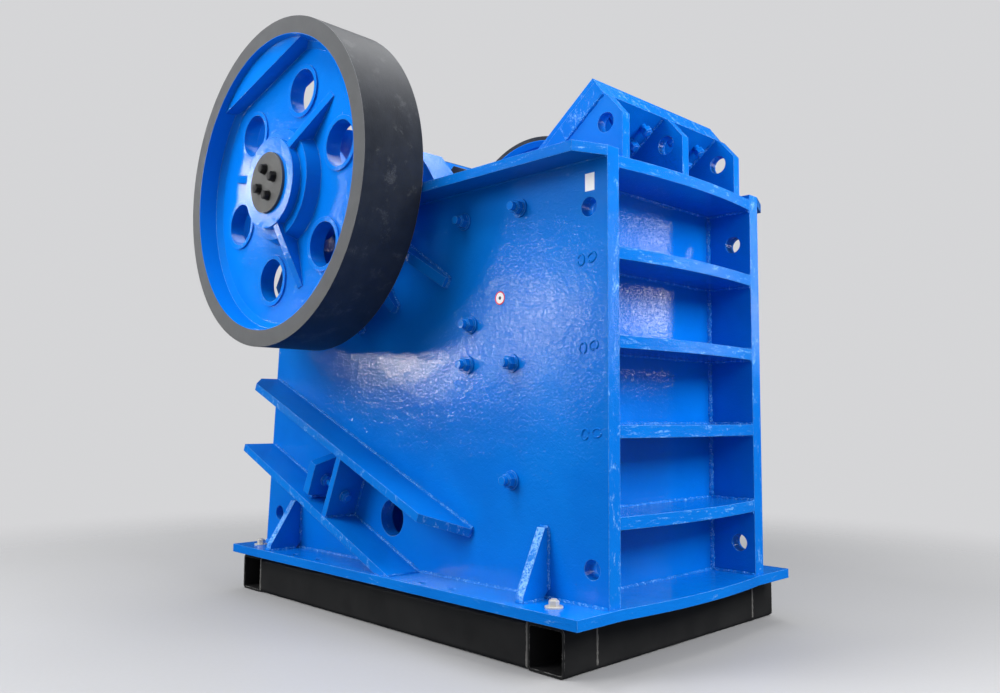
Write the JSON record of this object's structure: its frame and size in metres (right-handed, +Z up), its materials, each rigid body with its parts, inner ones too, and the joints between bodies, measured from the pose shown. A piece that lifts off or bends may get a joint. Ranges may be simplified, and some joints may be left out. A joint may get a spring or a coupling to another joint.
{
  "type": "jaw crusher",
  "caption": "Single-toggle jaw crusher on a box-section skid, welded from heavy plate, with a flywheel and a grooved belt pulley, a moving swing jaw, ribbed front end, sloping hood and lifting lugs.",
  "frame": {"origin": "on the ground under the skid, halfway along the overall length and width", "axes": "+Z up, +X out of the ribbed front end behind the fixed jaw, -Y the left side"},
  "size_m": [2.205, 1.788, 2.467],
  "materials": {
    "blue_enamel": "glossy brushed enamel",
    "rim_iron": "dark machined cast iron, with enamel on the inner wall",
    "skid_black": "satin black paint",
    "dark_metal": "dark oiled steel",
    "jaw_steel": "bare cast manganese steel",
    "bare_steel": "machined steel",
    "zinc_bolts": "zinc-plated fasteners",
    "label_white": "plain printed film with no print"
  },
  "bodies": {
    "root": {"adjuster_left": "blue_enamel", "adjuster_right": "blue_enamel", "base_plate": "blue_enamel", "bearing_housing_left": "blue_enamel", "bearing_housing_right": "blue_enamel", "cheek_plates_left": "jaw_steel", "cheek_plates_right": "jaw_steel", "fixed_jaw_plate": "jaw_steel", "foot_gussets_left": "blue_enamel", "foot_gussets_right": "blue_enamel", "front_rib_1": "blue_enamel", "front_rib_2": "blue_enamel", "front_rib_3": "blue_enamel", "front_rib_4": "blue_enamel", "front_top_plate": "blue_enamel", "front_wall": "blue_enamel", "hood_liner": "blue_enamel", "hood_lug_1": "blue_enamel", "hood_lug_2": "blue_enamel", "hood_lug_3": "blue_enamel", "hood_plate": "blue_enamel", "housing_ribs_left": "blue_enamel", "housing_ribs_right": "blue_enamel", "lower_stay_left": "blue_enamel", "lower_stay_right": "blue_enamel", "rear_ribs": "blue_enamel", "rear_wall": "blue_enamel", "shims": "bare_steel", "side_plate_left": "blue_enamel", "side_plate_right": "blue_enamel", "skid_front_tube": "skid_black", "skid_rear_tube": "skid_black", "skid_side_beam_left": "skid_black", "skid_side_beam_right": "skid_black", "toggle_beam": "blue_enamel", "toggle_plate": "bare_steel", "toggle_seat_rear": "bare_steel", "top_flange_left": "blue_enamel", "top_flange_right": "blue_enamel", "upper_stay_left": "blue_enamel", "upper_stay_right": "blue_enamel"},
    "rotor": {"eccentric_shaft": "bare_steel", "flywheel": "blue_enamel", "flywheel_rim": "rim_iron", "pulley": "blue_enamel", "pulley_rim": "rim_iron", "end_cover_left": "dark_metal", "end_cover_right": "dark_metal"},
    "swing": {"swing_jaw": "blue_enamel", "swing_jaw_plate": "jaw_steel", "jaw_wedge": "jaw_steel", "toggle_seat_front": "bare_steel"}
  },
  "joints": [
    {"name": "rotor_spin", "type": "hinge", "parent": "root", "child": "rotor", "pos_m": [-0.4175, 0, 1.782], "axis": [0, 1, 0], "continuous": true},
    {"name": "swing_turn", "type": "hinge", "parent": "rotor", "child": "swing", "pos_m": [-0.41596, 0, 1.76808], "axis": [0, 1, 0], "continuous": true}
  ],
  "couplings": [
    {"joint": "swing_turn", "follows": "rotor_spin", "ratio": -1}
  ]
}
